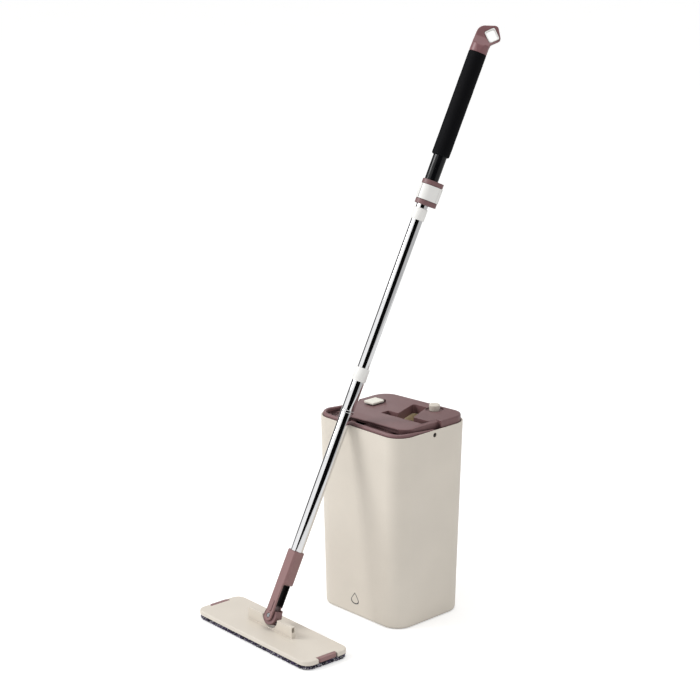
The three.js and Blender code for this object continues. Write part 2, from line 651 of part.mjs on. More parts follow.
function capBody() {
  const outline = prismY(capOutline(), -gripRadius, gripRadius);
  const flanks = prismX(points([-17, -1], [17, -1], [15.8, 14], [hook.depth, 30], [hook.depth, 70],
    [-hook.depth, 70], [-hook.depth, 30], [-15.8, 14]), -40, 40);
  const round = join(rod(gripRadius, -1, 20), box(-60, 60, -40, 40, 16, 80));
  const spigot = rod(handleTubeRadius - 2.5, -18, 1);
  return cut(join(outline.intersect(flanks).intersect(round), spigot), hookHole(0, 40));
}

function hookLiner() {
  return cut(hookHole(2 * GAP, hook.depth + 0.5), hookHole(2 * GAP + 4, 40));
}

function clampParts() {
  const group = new THREE.Group();
  group.add(part('clamp_body', clampBody(), 'brown'));
  group.add(part('clamp_band', clampBand(), 'cream'));
  group.add(part('clamp_lever', clampLever(), 'cream'));
  group.add(part('clamp_pin', rod(1.6, pole.clampFoot + 2.4, pole.clampTop - 2.4, 16)
    .translate([clamp.pinX, clamp.pinY, 0]), 'chrome'));
  return group;
}

function handleParts() {
  const group = new THREE.Group();
  group.rotation.z = radians(handleTwist);
  group.add(clampParts());
  const wall = 1.2;
  group.add(part('handle_tube', sleeve(handleTubeRadius, handleTubeRadius - wall,
    pole.handleStart, pole.gripTop), 'black'));
  const foamBore = handleTubeRadius + GAP;
  group.add(part('foam_grip', turned([[foamBore, pole.gripFoot], [gripRadius - 2, pole.gripFoot],
    [gripRadius, pole.gripFoot + 2], [gripRadius, pole.gripTop], [foamBore, pole.gripTop],
    [foamBore, pole.gripFoot]]), 'foam'));
  const top = new THREE.Group();
  top.position.z = pole.gripTop + GAP;
  top.add(part('end_cap', capBody(), 'brown'));
  top.add(part('hook_liner', hookLiner(), 'cream'));
  group.add(top);
  return group;
}

function mopParts() {
  const mop = new THREE.Group();
  mop.position.set(head.x, head.y, 0);
  mop.rotation.z = radians(head.yaw);
  mop.add(headParts());
  const leaning = new THREE.Group();
  leaning.position.z = pitchAxisZ;
  leaning.rotation.x = radians(-lean);
  leaning.add(swivelParts());
  const upright = new THREE.Group();
  upright.position.z = forkPinUp;
  upright.rotation.y = radians(sideLean);
  upright.add(lowerPoleParts(), upperPoleParts(), handleParts());
  leaning.add(upright);
  mop.add(leaning);
  return mop;
}

const group = new THREE.Group();
group.add(bucketParts(), mopParts());
export default group;
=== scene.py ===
# Looks for the flat squeeze mop and its bucket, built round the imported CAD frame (metres, +Z up).
import bmesh
import bpy
import json
import math
import random
from mathutils import Matrix, Vector, noise


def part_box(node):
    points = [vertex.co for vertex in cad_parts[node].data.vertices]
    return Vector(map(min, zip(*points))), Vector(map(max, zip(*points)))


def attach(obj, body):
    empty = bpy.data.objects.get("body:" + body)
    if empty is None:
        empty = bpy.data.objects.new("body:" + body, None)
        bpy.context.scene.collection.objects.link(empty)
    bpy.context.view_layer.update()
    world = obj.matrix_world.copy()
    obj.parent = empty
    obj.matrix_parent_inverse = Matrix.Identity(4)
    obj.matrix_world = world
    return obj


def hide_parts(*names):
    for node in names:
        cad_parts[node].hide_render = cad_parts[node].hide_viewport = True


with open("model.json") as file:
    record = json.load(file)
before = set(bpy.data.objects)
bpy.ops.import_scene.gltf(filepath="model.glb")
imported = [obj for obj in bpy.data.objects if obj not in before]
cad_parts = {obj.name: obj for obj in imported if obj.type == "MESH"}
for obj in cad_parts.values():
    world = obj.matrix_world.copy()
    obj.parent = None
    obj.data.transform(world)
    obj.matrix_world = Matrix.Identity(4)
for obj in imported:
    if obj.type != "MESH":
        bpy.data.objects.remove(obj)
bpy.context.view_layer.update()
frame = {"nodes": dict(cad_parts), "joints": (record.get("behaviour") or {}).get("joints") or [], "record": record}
nodes = frame["nodes"]
joints = {joint["name"]: joint for joint in frame["joints"]}
slots = {entry["node"]: entry["material_slot"] for entry in frame["record"]["subparts"]}
MM = 0.001


# ---------------------------------------------------------------- camera, lights and stage
# The camera looks towards the bucket's middle from this side, and is then moved sideways and up.
# Distances are in metres, the lens and the sensor in millimetres.
VIEW_AZIMUTH = math.radians(46.67)
VIEW_ELEVATION = math.radians(16.26)
VIEW_DISTANCE = 3.979
SHIFT_RIGHT = -0.0784
SHIFT_UP = 0.3076
LENS = 107.2
SENSOR_WIDTH = 36

# brightness of the surroundings: as light in the room, and as the camera and reflections see them
ROOM_LIGHT = 0.66
PAPER_WHITE = 1.0

# half the paper's side and how far it lies below the object, in metres, and the light it adds itself
FLOOR_HALF = 30
FLOOR_DROP = 0.0002
FLOOR_LIFT = 0.38

# name, place, target, width in metres, power in watts
LIGHTS = (
    ("key_light", (-2.4, -2.9, 2.8), (-0.05, -0.1, 0.4), 2.0, 82),
    ("top_light", (0.3, 0.4, 3.4), (0, 0, 0.3), 2.0, 11),
)

# name, middle and spread in degrees round the pole, distance in metres, brightness
CARDS = (
    ("card_front", 10, 74, 1.7, 0.003),
    ("card_left", -128, 46, 1.5, 0.10),
    ("card_right", 96, 100, 1.4, 0.50),
    ("card_back", 175, 20, 1.3, 0.10),
)
# where the cards end, in metres along the pole from the fork's pin
CARD_FOOT = -0.9
CARD_TOP = 2.2


def view_axes(azimuth, elevation):
    """The camera's right, up and backward directions."""
    back = Vector((math.sin(azimuth) * math.cos(elevation), -math.cos(azimuth) * math.cos(elevation),
                   math.sin(elevation)))
    right = Vector((math.cos(azimuth), math.sin(azimuth), 0))
    return right, back.cross(right), back


def bucket_centre():
    low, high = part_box("bucket_shell")
    return (low + high) / 2


def make_camera():
    right, up, back = view_axes(VIEW_AZIMUTH, VIEW_ELEVATION)
    data = bpy.data.cameras.new("camera")
    data.lens = LENS
    data.sensor_width = SENSOR_WIDTH
    camera = bpy.data.objects.new("camera", data)
    place = bucket_centre() + back * VIEW_DISTANCE + right * SHIFT_RIGHT + up * SHIFT_UP
    turn = Matrix((right, up, back)).transposed().to_4x4()
    camera.matrix_world = Matrix.Translation(place) @ turn
    bpy.context.collection.objects.link(camera)
    bpy.context.scene.camera = camera


def add_area_light(name, place, target, size, power):
    data = bpy.data.lights.new(name, "AREA")
    data.shape = "DISK"
    data.size = size
    data.energy = power
    light = bpy.data.objects.new(name, data)
    light.location = place
    light.rotation_euler = (Vector(target) - Vector(place)).to_track_quat("-Z", "Y").to_euler()
    bpy.context.collection.objects.link(light)


def make_world():
    """Soft white surroundings; the camera and mirror-like surfaces see them as plain white paper."""
    world = bpy.data.worlds.new("studio")
    world.use_nodes = True
    tree = world.node_tree
    tree.nodes.clear()
    output = tree.nodes.new("ShaderNodeOutputWorld")
    mix = tree.nodes.new("ShaderNodeMixShader")
    path = tree.nodes.new("ShaderNodeLightPath")
    room = tree.nodes.new("ShaderNodeBackground")
    room.inputs["Strength"].default_value = ROOM_LIGHT
    paper = tree.nodes.new("ShaderNodeBackground")
    paper.inputs["Strength"].default_value = PAPER_WHITE
    for node in (room, paper):
        node.inputs["Color"].default_value = (1, 1, 1, 1)
    seen = math_node(tree, "MAXIMUM", path.outputs["Is Camera Ray"], path.outputs["Is Glossy Ray"])
    tree.links.new(seen, mix.inputs[0])
    tree.links.new(room.outputs[0], mix.inputs[1])
    tree.links.new(paper.outputs[0], mix.inputs[2])
    tree.links.new(mix.outputs[0], output.inputs[0])
    bpy.context.scene.world = world


def add_card(name, side_angle, spread, distance, shade):
    """A long card hung beside the pole that shows only in reflections. Its angle is in degrees round
    the pole, from the camera's side to the right."""
    pole = pole_matrix()
    along = pole.col[2].to_3d()
    back = view_axes(VIEW_AZIMUTH, VIEW_ELEVATION)[2]
    towards = (back - along * back.dot(along)).normalized()
    outward = Matrix.Rotation(math.radians(side_angle), 3, along) @ towards
    across = along.cross(outward)
    half = distance * math.tan(math.radians(spread / 2))
    bm = bmesh.new()
    for x, z in ((-half, CARD_FOOT), (half, CARD_FOOT), (half, CARD_TOP), (-half, CARD_TOP)):
        bm.verts.new(pole.translation + outward * distance + across * x + along * z)
    bm.faces.new(bm.verts)
    card = add_mesh(name, bm)
    material = bpy.data.materials.new(name)
    material.use_nodes = True
    tree = material.node_tree
    glow = tree.nodes.new("ShaderNodeEmission")
    glow.inputs["Strength"].default_value = shade
    tree.links.new(glow.outputs[0], tree.nodes["Material Output"].inputs["Surface"])
    card.data.materials.append(material)
    card.visible_camera = False
    card.visible_diffuse = False
    card.visible_shadow = False
    card.visible_transmission = False


def lift_floor(tree, shader):
    """Gives the paper a little light of its own that only the camera sees, so it stays white far off."""
    path = tree.nodes.new("ShaderNodeLightPath")
    glow = tree.nodes.new("ShaderNodeEmission")
    total = tree.nodes.new("ShaderNodeAddShader")
    strength = math_node(tree, "MULTIPLY", path.outputs["Is Camera Ray"], FLOOR_LIFT)
    tree.links.new(strength, glow.inputs["Strength"])
    tree.links.new(shader.outputs[0], total.inputs[0])
    tree.links.new(glow.outputs[0], total.inputs[1])
    tree.links.new(total.outputs[0], tree.nodes["Material Output"].inputs["Surface"])


def make_floor():
    """A wide sheet of white paper just under the object."""
    bm = bmesh.new()
    for x, y in ((-1, -1), (1, -1), (1, 1), (-1, 1)):
        bm.verts.new((x * FLOOR_HALF, y * FLOOR_HALF, 0))
    bm.faces.new(bm.verts)
    floor = add_mesh("studio_floor", bm)
    floor.location.z = -FLOOR_DROP
    material, shader, tree = new_material("floor_paper")
    cloudy = noise_node(tree, 3.0, 2)
    ramp(tree, cloudy, [(0.0, (0.90, 0.90, 0.895)), (1.0, (0.93, 0.93, 0.925))],
         shader.inputs["Base Color"])
    shader.inputs["Roughness"].default_value = 0.9
    shader.inputs["Specular IOR Level"].default_value = 0.1
    lift_floor(tree, shader)
    floor.data.materials.append(material)


def make_stage():
    bpy.context.scene.view_settings.view_transform = "Standard"
    make_world()
    make_floor()
    for row in LIGHTS:
        add_area_light(*row)
    for row in CARDS:
        add_card(*row)


# ---------------------------------------------------------------- material helpers
def new_material(name):
    material = bpy.data.materials.new(name)
    material.use_nodes = True
    tree = material.node_tree
    return material, tree.nodes["Principled BSDF"], tree


def object_coordinates(tree, stretch=(1, 1, 1)):
    source = tree.nodes.new("ShaderNodeTexCoord")
    mapping = tree.nodes.new("ShaderNodeMapping")
    mapping.inputs["Scale"].default_value = stretch
    tree.links.new(source.outputs["Object"], mapping.inputs["Vector"])
    return mapping.outputs["Vector"]


def noise_node(tree, scale, detail=2, roughness=0.5, stretch=(1, 1, 1)):
    node = tree.nodes.new("ShaderNodeTexNoise")
    node.inputs["Scale"].default_value = scale
    node.inputs["Detail"].default_value = detail
    node.inputs["Roughness"].default_value = roughness
    tree.links.new(object_coordinates(tree, stretch), node.inputs["Vector"])
    return node.outputs["Fac"]


def ramp(tree, value, stops, target=None):
    node = tree.nodes.new("ShaderNodeValToRGB")
    while len(node.color_ramp.elements) < len(stops):
        node.color_ramp.elements.new(0.5)
    for element, (position, colour) in zip(node.color_ramp.elements, stops):
        element.position = position
        element.color = (*colour, 1)
    tree.links.new(value, node.inputs["Fac"])
    if target is not None:
        tree.links.new(node.outputs["Color"], target)
    return node.outputs["Color"]


def math_node(tree, operation, first, second):
    node = tree.nodes.new("ShaderNodeMath")
    node.operation = operation
    for socket, value in zip(node.inputs, (first, second)):
        if isinstance(value, (int, float)):
            socket.default_value = value
        else:
            tree.links.new(value, socket)
    return node.outputs[0]


def map_range(tree, value, low, high, target=None, start=0.0, end=1.0):
    """A value that runs from start to end turned into one that runs from low to high."""
    node = tree.nodes.new("ShaderNodeMapRange")
    node.inputs["From Min"].default_value = start
    node.inputs["From Max"].default_value = end
    node.inputs["To Min"].default_value = low
    node.inputs["To Max"].default_value = high
    tree.links.new(value, node.inputs["Value"])
    if target is not None:
        tree.links.new(node.outputs["Result"], target)
    return node.outputs["Result"]


# A Mix node's colour sockets go by number, because its number and vector sockets share their names.
MIX_FIRST, MIX_SECOND, MIX_RESULT = 6, 7, 2


def mix_colours(tree, factor, first, second, blend="MIX"):
    node = tree.nodes.new("ShaderNodeMix")
    node.data_type = "RGBA"
    node.blend_type = blend
    sockets = (node.inputs["Factor"], node.inputs[MIX_FIRST], node.inputs[MIX_SECOND])
    for socket, value in zip(sockets, (factor, first, second)):
        if isinstance(value, tuple):
            socket.default_value = (*value, 1)
        elif isinstance(value, float):
            socket.default_value = value
        else:
            tree.links.new(value, socket)
    return node.outputs[MIX_RESULT]


def bump(tree, shader, height, strength, distance, below=None):
    node = tree.nodes.new("ShaderNodeBump")
    node.inputs["Strength"].default_value = strength
    node.inputs["Distance"].default_value = distance
    tree.links.new(height, node.inputs["Height"])
    if below is not None:
        tree.links.new(below, node.inputs["Normal"])
    tree.links.new(node.outputs["Normal"], shader.inputs["Normal"])
    return node.outputs["Normal"]


def tint(colour, factor):
    return tuple(min(1.0, channel * factor) for channel in colour)


# ---------------------------------------------------------------- materials
def painted_corner_shade(tree, colour, reach, dark):
    """Painted shade: the colour darkened by ambient occlusion in corners and narrow gaps."""
    corners = tree.nodes.new("ShaderNodeAmbientOcclusion")
    corners.samples = 8
    corners.inputs["Distance"].default_value = reach
    shade = map_range(tree, corners.outputs["AO"], dark, 1.0, start=0.15, end=0.75)
    gray = tree.nodes.new("ShaderNodeCombineColor")
    for socket in gray.inputs:
        tree.links.new(shade, socket)
    return mix_colours(tree, 1.0, colour, gray.outputs["Color"], "MULTIPLY")


def moulded_plastic(name, colour, roughness, grain=900, grain_depth=0.00006, variation=0.03,
                    scuffs=0.5, corner_shade=0.75):
    """Moulded plastic: fine spark-eroded grain, faint flow clouds, light scuffs and painted shade in its corners.
    """
    material, shader, tree = new_material(name)
    black, white = (0, 0, 0), (1, 1, 1)
    clouds = noise_node(tree, 9, 3)
    fine = noise_node(tree, grain, 2)
    base = ramp(tree, clouds, [(0.3, tint(colour, 1 - variation)), (0.7, tint(colour, 1 + variation))])
    specks = ramp(tree, noise_node(tree, 420, 2, 0.6), [(0.62, black), (0.78, white)])
    speckled = math_node(tree, "MULTIPLY", specks, 0.10 * scuffs)
    faded = mix_colours(tree, speckled, base, tint(colour, 0.75))
    hairs = ramp(tree, noise_node(tree, 60, 4, 0.7, (1, 14, 3)), [(0.66, black), (0.72, white)])
    scratched = math_node(tree, "MULTIPLY", hairs, 0.08 * scuffs)
    worn = mix_colours(tree, scratched, faded, tint(colour, 1.18))
    # painted shade: ambient occlusion darkens the colour in corners and narrow gaps
    tree.links.new(painted_corner_shade(tree, worn, reach=0.02, dark=corner_shade), shader.inputs["Base Color"])
    map_range(tree, noise_node(tree, 25, 3), roughness - 0.06, roughness + 0.06,
              shader.inputs["Roughness"])
    shader.inputs["Specular IOR Level"].default_value = 0.45
    bump(tree, shader, fine, 0.35, grain_depth)
    return material


def satin_plastic(name, colour, roughness):
    """The smoother pale mouldings."""
    return moulded_plastic(name, colour, roughness, grain=1200, grain_depth=0.00003)


def brown_plastic(name, colour, roughness, corner_shade):
    """The mauve brown mouldings, which show clouds, scuffs and painted corner shade more than the pale ones."""
    return moulded_plastic(name, colour, roughness, grain=1000, grain_depth=0.00005, variation=0.05,
                           scuffs=0.8, corner_shade=corner_shade)


def chrome(name, colour, roughness, along):
    """Bright plating with faint polishing lines that run along the tube, and a few pits."""
    material, shader, tree = new_material(name)
    lines = noise_node(tree, 1600, 2, 0.6, along)
    spots = noise_node(tree, 260, 3)
    ramp(tree, noise_node(tree, 30, 3), [(0.3, tint(colour, 0.94)), (0.7, colour)],
         shader.inputs["Base Color"])
    map_range(tree, spots, roughness * 0.6, roughness * 1.6, shader.inputs["Roughness"])
    shader.inputs["Metallic"].default_value = 1
    bump(tree, shader, lines, 0.05, 0.00002)
    return material


def glossy_enamel(name, colour):
    """Black stove enamel on steel tube, with slight orange peel."""
    material, shader, tree = new_material(name)
    peel = noise_node(tree, 380, 2)
    ramp(tree, noise_node(tree, 40, 3), [(0.3, colour), (0.7, tint(colour, 1.5))],
         shader.inputs["Base Color"])
    map_range(tree, noise_node(tree, 90, 3), 0.16, 0.28, shader.inputs["Roughness"])
    shader.inputs["Specular IOR Level"].default_value = 0.3
    shader.inputs["Coat Weight"].default_value = 0.15
    shader.inputs["Coat Roughness"].default_value = 0.08
    bump(tree, shader, peel, 0.12, 0.00005)
    return material


def foam(name, colour):
    """Closed-cell foam: a skin of tiny cells over softer lumps."""
    material, shader, tree = new_material(name)
    cells = tree.nodes.new("ShaderNodeTexVoronoi")
    cells.inputs["Scale"].default_value = 1400
    tree.links.new(object_coordinates(tree), cells.inputs["Vector"])
    lumps = noise_node(tree, 180, 3)
    ramp(tree, cells.outputs["Distance"], [(0.1, tint(colour, 0.6)), (0.7, tint(colour, 1.7))],
         shader.inputs["Base Color"])
    map_range(tree, lumps, 0.6, 0.8, shader.inputs["Roughness"])
    shader.inputs["Specular IOR Level"].default_value = 0.11
    first = bump(tree, shader, lumps, 0.2, 0.0003)
    bump(tree, shader, cells.outputs["Distance"], 0.6, 0.0002, first)
    return material


def rubber(name, colour):
    """Soft matt rubber with a dusty bloom."""
    material, shader, tree = new_material(name)
    bloom = noise_node(tree, 70, 4, 0.6)
    ramp(tree, bloom, [(0.35, colour), (0.75, tint(colour, 2.2))], shader.inputs["Base Color"])
    map_range(tree, bloom, 0.6, 0.85, shader.inputs["Roughness"])
    bump(tree, shader, noise_node(tree, 1200, 2), 0.3, 0.00008)
    return material


def hook_tape(name):
    """Woven tape with rows of tiny hooks."""
    material, shader, tree = new_material(name)
    weave = tree.nodes.new("ShaderNodeTexWave")
    weave.inputs["Scale"].default_value = 420
    weave.inputs["Distortion"].default_value = 1.5
    tree.links.new(object_coordinates(tree), weave.inputs["Vector"])
    ramp(tree, weave.outputs["Fac"], [(0.2, (0.012, 0.012, 0.012)), (0.8, (0.07, 0.07, 0.075))],
         shader.inputs["Base Color"])
    map_range(tree, weave.outputs["Fac"], 0.7, 0.95, shader.inputs["Roughness"])
    bump(tree, shader, weave.outputs["Fac"], 0.8, 0.0004)
    return material


YARN_DARK = (0.026, 0.022, 0.042)
YARN_PLUM = (0.115, 0.085, 0.185)
YARN_PALE = (0.50, 0.49, 0.53)


def pad_fabric(name):
    """Mottled microfibre: dark pile flecked with plum and pale yarns."""
    material, shader, tree = new_material(name)
    flecks = tree.nodes.new("ShaderNodeTexVoronoi")
    flecks.inputs["Scale"].default_value = 330
    tree.links.new(object_coordinates(tree, (1, 1, 0.6)), flecks.inputs["Vector"])
    separate = tree.nodes.new("ShaderNodeSeparateColor")
    tree.links.new(flecks.outputs["Color"], separate.inputs["Color"])
    yarn = ramp(tree, separate.outputs["Red"],
                [(0.0, YARN_DARK), (0.5, YARN_PLUM), (0.72, YARN_DARK), (0.88, YARN_PALE)])
    fibre = noise_node(tree, 2600, 3, 0.6)
    shaded = mix_colours(tree, math_node(tree, "MULTIPLY", fibre, 0.5), yarn, tint(YARN_DARK, 0.6))
    tree.links.new(shaded, shader.inputs["Base Color"])
    map_range(tree, fibre, 0.85, 1.0, shader.inputs["Roughness"])
    shader.inputs["Sheen Weight"].default_value = 0.35
    shader.inputs["Specular IOR Level"].default_value = 0.15
    first = bump(tree, shader, flecks.outputs["Distance"], 0.9, 0.0012)
    bump(tree, shader, fibre, 0.5, 0.0003, first)
    return material


def yarn_material(name, colour):
    """One colour of twisted yarn."""
    material, shader, tree = new_material(name)
    twist = noise_node(tree, 1900, 2, 0.6, (1, 1, 0.35))
    ramp(tree, twist, [(0.3, tint(colour, 0.55)), (0.7, tint(colour, 1.3))], shader.inputs["Base Color"])
    map_range(tree, twist, 0.85, 1.0, shader.inputs["Roughness"])
    shader.inputs["Sheen Weight"].default_value = 0.3
    shader.inputs["Specular IOR Level"].default_value = 0.15
    bump(tree, shader, twist, 0.6, 0.0003)
    return material


def make_materials():
    return {
        # The browns' last number, and the chute's 1.0, set how dark the painted corner shade goes; 1.0 leaves
        # none.
        "cream_plastic": moulded_plastic("cream_polypropylene", (0.76, 0.70, 0.615), 0.46),
        "chute_plastic": moulded_plastic("natural_polypropylene", (0.84, 0.72, 0.48), 0.5,
                                         corner_shade=1.0),
        "white_plastic": satin_plastic("white_satin_plastic", (0.93, 0.92, 0.895), 0.36),
        "ivory_plastic": satin_plastic("ivory_satin_plastic", (0.92, 0.895, 0.80), 0.38),
        "brown_plastic": brown_plastic("mauve_brown_plastic", (0.225, 0.121, 0.125), 0.42, 0.28),
        "deck_brown": brown_plastic("deck_mauve_brown", (0.200, 0.106, 0.107), 0.42, 0.28),
        "warm_brown": brown_plastic("warm_mauve_brown", (0.290, 0.160, 0.158), 0.40, 0.3),
        "cap_brown": brown_plastic("cap_mauve_brown", (0.235, 0.112, 0.119), 0.38, 0.5),
        "black_plastic": moulded_plastic("black_plastic", (0.016, 0.013, 0.013), 0.5),
        "ink": moulded_plastic("printed_ink", (0.045, 0.045, 0.052), 0.5),
        "black_rubber": rubber("black_rubber", (0.018, 0.018, 0.018)),
        "chrome_tube": chrome("bright_chrome", (0.87, 0.87, 0.88), 0.06, (1, 1, 0.02)),
        "steel_pin": chrome("polished_steel", (0.34, 0.35, 0.37), 0.2, (1, 1, 1)),
        "black_tube": glossy_enamel("black_enamel", (0.0035, 0.0035, 0.0045)),
        "black_foam": foam("black_foam", (0.0022, 0.0022, 0.0030)),
        "hook_tape": hook_tape("hook_tape_weave"),
        "pad_fabric": pad_fabric("mottled_microfibre"),
        "yarn_dark": yarn_material("dark_yarn", YARN_DARK),
        "yarn_plum": yarn_material("plum_yarn", YARN_PLUM),
        "yarn_pale": yarn_material("pale_yarn", YARN_PALE),
    }


# ---------------------------------------------------------------- mesh helpers
def add_mesh(name, bm):
    mesh = bpy.data.meshes.new(name)
    bm.to_mesh(mesh)
    bm.free()
    piece = bpy.data.objects.new(name, mesh)
    bpy.context.collection.objects.link(piece)
    return piece


def join_rings(bm, rings):
    """Faces between each ring and the next, and between the last and the first."""
    for ring, after in zip(rings, rings[1:] + rings[:1]):
        for i in range(len(ring)):
            j = (i + 1) % len(ring)
            bm.faces.new((ring[i], ring[j], after[j], after[i]))
    bmesh.ops.recalc_face_normals(bm, faces=bm.faces)


def apply_modifiers(piece):
    """Turns what the modifiers make of a piece into its own mesh."""
    view = bpy.context.evaluated_depsgraph_get()
    view.update()
    mesh = bpy.data.meshes.new_from_object(piece.evaluated_get(view))
    piece.modifiers.clear()
    old = piece.data
    piece.data = mesh
    bpy.data.meshes.remove(old)


def add_remesh(piece, voxel_size):
    remesh = piece.modifiers.new("remesh", "REMESH")
    remesh.mode = "VOXEL"
    remesh.voxel_size = voxel_size


def smooth(piece):
    for face in piece.data.polygons:
        face.use_smooth = True


def round_edges(node, width, segments=3):
    """Rounds a CAD node's sharp edges with modifiers and shades its curved sides smooth."""
    piece = nodes[node]
    smooth(piece)
    weld = piece.modifiers.new("weld", "WELD")
    weld.merge_threshold = 2e-6
    dissolve = piece.modifiers.new("flatten", "DECIMATE")
    dissolve.decimate_type = "DISSOLVE"
    dissolve.angle_limit = math.radians(0.6)
    bevel = piece.modifiers.new("bevel", "BEVEL")
    bevel.width = width
    bevel.segments = segments
    bevel.limit_method = "ANGLE"
    bevel.angle_limit = math.radians(28)
    bevel.use_clamp_overlap = False
    bevel.miter_outer = "MITER_ARC"
    normals = piece.modifiers.new("normals", "WEIGHTED_NORMAL")
    normals.keep_sharp = True
    normals.weight = 90


def shade_by_angle(node):
    """Shades a thin-walled CAD node smooth, with its corners kept sharp."""
    piece = nodes[node]
    smooth(piece)
    split = piece.modifiers.new("corners", "EDGE_SPLIT")
    split.split_angle = math.radians(30)


# the CAD nodes whose finish isn't their slot's
FINISHES = {
    "wringer_chute": "chute_plastic", "filler_flap": "ivory_plastic", "deck": "deck_brown",
    # painted shade: the handle pins take the black plastic to stand for the shade they sit in
    "handle_pin_left": "black_plastic", "handle_pin_right": "black_plastic",
    "lower_housing": "warm_brown", "end_tab_left": "warm_brown", "end_tab_right": "warm_brown",
    "end_cap": "cap_brown",
}


def dress(materials):
    """Every CAD node gets the material of its slot, or its own finish."""
    for name, piece in nodes.items():
        piece.data.materials.clear()
        piece.data.materials.append(materials[FINISHES.get(name, slots[name])])


def finish_piece(piece, body, slot, material, *replaced):
    """A new piece's material, body, and the CAD nodes that it stands for; its slot is not used."""
    piece.data.materials.append(material)
    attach(piece, body)
    if replaced:
        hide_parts(*replaced)


# how far each node's edges are rounded, in millimetres, and how far the small parts' are
EDGE_WIDTHS = {
    "bucket_shell": 0.9, "deck": 0.9, "divider_wall": 0.4, "wash_comb": 0.4, "scraper_blade": 0.3,
    "carry_handle": 2.6, "handle_pin_left": 0.5, "handle_pin_right": 0.5, "filler_flap": 0.7,
    "drain_knob": 0.5, "drain_plug": 0.6, "head_plate": 0.6, "head_base": 0.4, "end_tab_left": 0.7,
    "end_tab_right": 0.7, "swivel_block": 0.8, "lower_housing": 0.9, "channel_liner": 0.2,
    "fork_pin": 0.5, "clamp_body": 0.8, "clamp_band": 0.5, "clamp_lever": 0.5, "hook_liner": 0.5,
}
SMALL_EDGE = 0.25
THIN_WALLED = ("wringer_chute",)


def finish_edges():
    """Every CAD node gets rounded edges, but for the thin-walled ones."""
    for node in nodes:
        if node in THIN_WALLED:
            shade_by_angle(node)
        elif node in EDGE_WIDTHS:
            round_edges(node, EDGE_WIDTHS[node] * MM)
        else:
            round_edges(node, SMALL_EDGE * MM, 2)


# ---------------------------------------------------------------- turned pieces on the pole
# Radii and stations are in millimetres; a station is the distance along the pole from the fork's pin.
LOWER_RADIUS = 12
LOWER_BORE = 11.4
UPPER_RADIUS = 11
UPPER_BORE = UPPER_RADIUS - 0.8
HANDLE_RADIUS = 13
HANDLE_BORE = 11.8
GRIP_RADIUS = 17
GRIP_FOOT = 907
HANDLE_TOP = 1108
GAP = 0.3
TURNED_SIDES = 96
# how much the foam's surface wavers, and how finely round the sleeve and along it
FOAM_WOBBLE = 0.25
WOBBLE_ROUND = 1.5
WOBBLE_ALONG = 0.05

# new piece, the CAD node it replaces, body, outer and inner radius, foot, top, rounding of its edges
SLEEVES = (
    ("lower_tube_chrome", "lower_tube", "lower_pole", LOWER_RADIUS, LOWER_BORE, 129.3, 402.7, 0.3),
    ("joint_ring_chrome", "joint_ring", "lower_pole", LOWER_RADIUS + 0.6, LOWER_BORE, 403, 408, 0.9),
    ("middle_tube_chrome", "middle_tube", "lower_pole", LOWER_RADIUS, LOWER_BORE, 408.3, 478, 0.3),
    ("upper_tube_chrome", "upper_tube", "upper_pole", UPPER_RADIUS, UPPER_BORE, 420, 1047, 0.3),
    ("stop_collar_moulding", "stop_collar", "upper_pole", 13, UPPER_RADIUS + GAP, 782, 805, 1.6),
    ("handle_tube_enamel", "handle_tube", "handle", HANDLE_RADIUS, HANDLE_BORE, 842.5, HANDLE_TOP, 0.3),
)


def pole_matrix():
    """The pole's own frame: its origin on the fork's pin, +Z up along the tubes."""
    along = Vector(joints["pole_telescope"]["axis"]).normalized()
    across = Vector(joints["head_fold"]["axis"])
    across = (across - along * across.dot(along)).normalized()
    turn = Matrix((across.cross(along), across, along)).transposed().to_4x4()
    return Matrix.Translation(Vector(joints["head_fold"]["pos_m"])) @ turn


def edge_arc(step):
    """How far a rounded edge's points lie in from the side and from the end, as parts of its radius."""
    return [(1 - math.sin(math.radians(angle)), 1 - math.cos(math.radians(angle)))
            for angle in range(0, 91, step)]


def rounded_ends(outer, inner, foot, top, edge):
    """The closed outline of a sleeve whose outer edges are rounded."""
    low = [(outer - edge * side, foot + edge * end) for side, end in edge_arc(30)]
    high = [(outer - edge * end, top - edge * side) for side, end in edge_arc(30)]
    return [(inner, foot)] + low + high + [(inner, top)]


def turned(name, outline, place, wobble):
    """A lathe piece from a closed outline of (radius, station) pairs; wobble roughens its radius."""
    bm = bmesh.new()
    rings = []
    for radius, station in outline:
        ring = []
        for i in range(TURNED_SIDES):
            angle = 2 * math.pi * i / TURNED_SIDES
            side = Vector((math.cos(angle), math.sin(angle), 0))
            sample = Vector((side.x * WOBBLE_ROUND, side.y * WOBBLE_ROUND, station * WOBBLE_ALONG))
            rough = wobble * noise.noise(sample)
            spot = side * (radius + rough) + Vector((0, 0, station))
            ring.append(bm.verts.new(place @ (spot * MM)))
        rings.append(ring)
    join_rings(bm, rings)
    piece = add_mesh(name, bm)
    smooth(piece)
    piece.data.set_sharp_from_angle(angle=math.radians(40))
    return piece


def grip_outline():
    """The foam sleeve: a soft rounded foot, and sides in many rows, so that they can waver."""
    inner, soft, rows = HANDLE_RADIUS + GAP, 3.5, 40
    low = [(GRIP_RADIUS - soft * side, GRIP_FOOT + soft * end) for side, end in edge_arc(15)]
    # the rows run from just above the rounded foot to just below the rounded top
    start, run = GRIP_FOOT + 4, HANDLE_TOP - GRIP_FOOT - 6
    body = [(GRIP_RADIUS, start + run * i / rows) for i in range(1, rows)]
    # without its first five points, which are the foot's
    high = rounded_ends(GRIP_RADIUS, inner, GRIP_FOOT, HANDLE_TOP, 1.0)[5:]
    return [(inner, GRIP_FOOT)] + low + body + high


def collar_outline():
    """The white collar on the middle tube, with a lip inwards over the tube's end."""
    inner, foot, top, lip = LOWER_RADIUS + GAP, 465, 491, 478 + GAP
    sleeve = rounded_ends(13.5, inner, foot, top, 1.4)
    return sleeve[:-1] + [(LOWER_BORE, top), (LOWER_BORE, lip), (inner, lip)]


